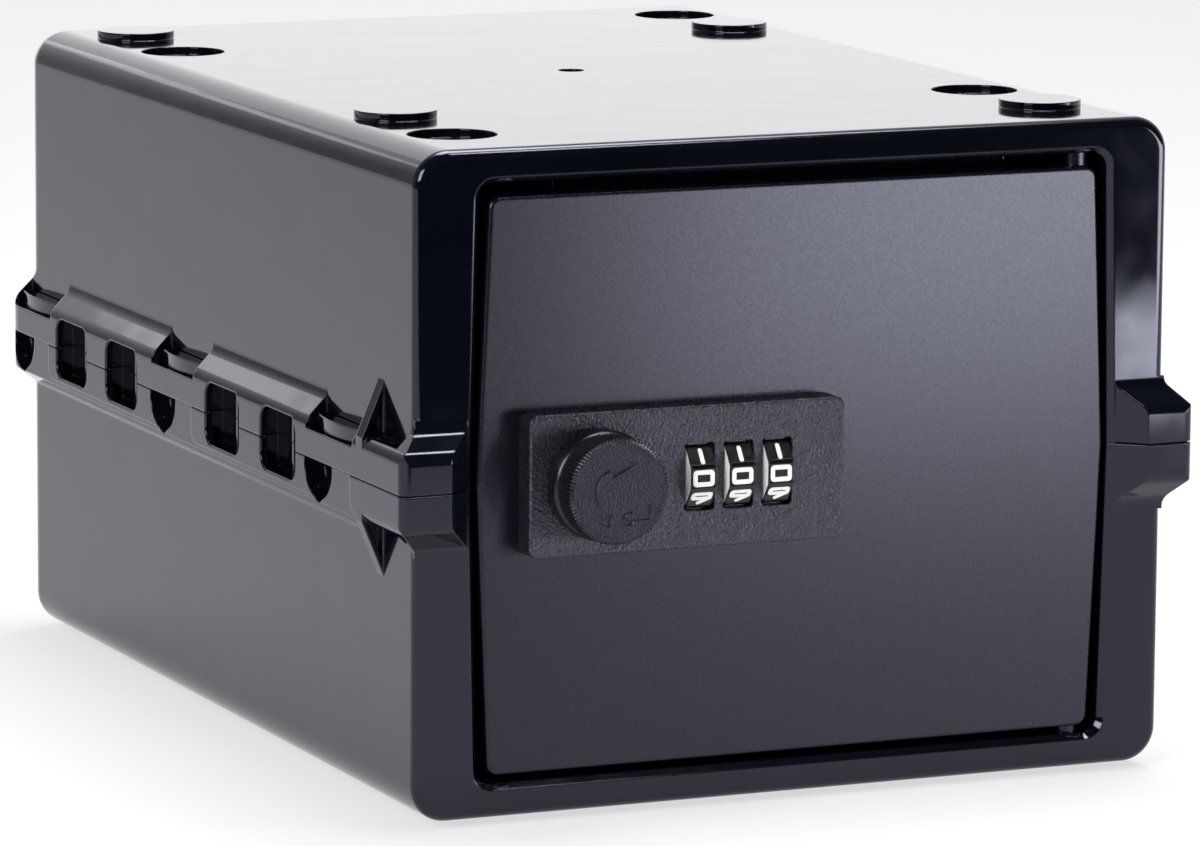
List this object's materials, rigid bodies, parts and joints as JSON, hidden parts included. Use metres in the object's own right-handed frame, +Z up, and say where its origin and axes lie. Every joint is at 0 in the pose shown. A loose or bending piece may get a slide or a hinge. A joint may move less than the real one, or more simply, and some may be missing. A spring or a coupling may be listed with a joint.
{
  "type": "lockable storage box",
  "caption": "Glossy black plastic storage box of two clipped half-shells, with a hinged front door and a dial combination lock with a turning knob",
  "frame": {"origin": "on the floor, under the middle of the whole box", "axes": "+X to the right as the door is faced, +Y from the door to the back, +Z up"},
  "size_m": [0.217, 0.3096, 0.17],
  "materials": {
    "gloss_black": "glossy moulded black plastic",
    "door_black": "satin-gloss moulded black plastic",
    "grained_black": "fine leather grain, matte",
    "smooth_black": "smooth gloss",
    "inner_black": "plain moulded, matte",
    "dial_black": "black number ring with white numerals",
    "dial_white": "white moulded core",
    "acetal": "natural acetal",
    "steel": "zinc-plated steel",
    "brass": "turned brass"
  },
  "bodies": {
    "case": {"upper_shell": "gloss_black", "lower_shell": "gloss_black"},
    "door": {"door_panel": "door_black", "lock_bezel": "grained_black", "lock_rear_cover": "inner_black", "rear_cover_screws": "steel", "retaining_plate": "steel", "fixing_screws": "steel", "knob_collar": "smooth_black", "spindle_bush": "brass", "dial_axle": "steel", "detent_spring": "steel"},
    "knob_set": {"knob": "grained_black", "spindle": "steel", "cam": "steel", "cam_washer": "steel", "cam_screw": "steel"},
    "slide_bar": {"locking_slide": "steel"},
    "code_lever": {"reset_lever": "inner_black"},
    "dial_1": {"dial_wheel_1": "dial_black", "dial_core_1": "dial_white", "code_sleeve_1": "acetal"},
    "dial_2": {"dial_wheel_2": "dial_black", "dial_core_2": "dial_white", "code_sleeve_2": "acetal"},
    "dial_3": {"dial_wheel_3": "dial_black", "dial_core_3": "dial_white", "code_sleeve_3": "acetal"}
  },
  "joints": [
    {"name": "door_hinge", "type": "hinge", "parent": "case", "child": "door", "pos_m": [0.079, -0.1303, 0.085], "axis": [0, 0, 1], "range_deg": [0, 105]},
    {"name": "knob_turn", "type": "hinge", "parent": "door", "child": "knob_set", "pos_m": [-0.0566, -0.1348, 0.085], "axis": [0, -1, 0], "range_deg": [0, 90]},
    {"name": "slide_travel", "type": "slide", "parent": "door", "child": "slide_bar", "axis": [-1, 0, 0], "range_m": [0, 0.0022]},
    {"name": "lever_travel", "type": "slide", "parent": "door", "child": "code_lever", "axis": [1, 0, 0], "range_m": [0, 0.004]},
    {"name": "dial_1_turn", "type": "hinge", "parent": "door", "child": "dial_1", "pos_m": [-0.0295, -0.1356, 0.085], "axis": [1, 0, 0], "continuous": true},
    {"name": "dial_2_turn", "type": "hinge", "parent": "door", "child": "dial_2", "pos_m": [-0.019, -0.1356, 0.085], "axis": [1, 0, 0], "continuous": true},
    {"name": "dial_3_turn", "type": "hinge", "parent": "door", "child": "dial_3", "pos_m": [-0.0085, -0.1356, 0.085], "axis": [1, 0, 0], "continuous": true}
  ],
  "couplings": [
    {"joint": "slide_travel", "follows": "knob_turn", "m_per_rad": 0.0014}
  ]
}
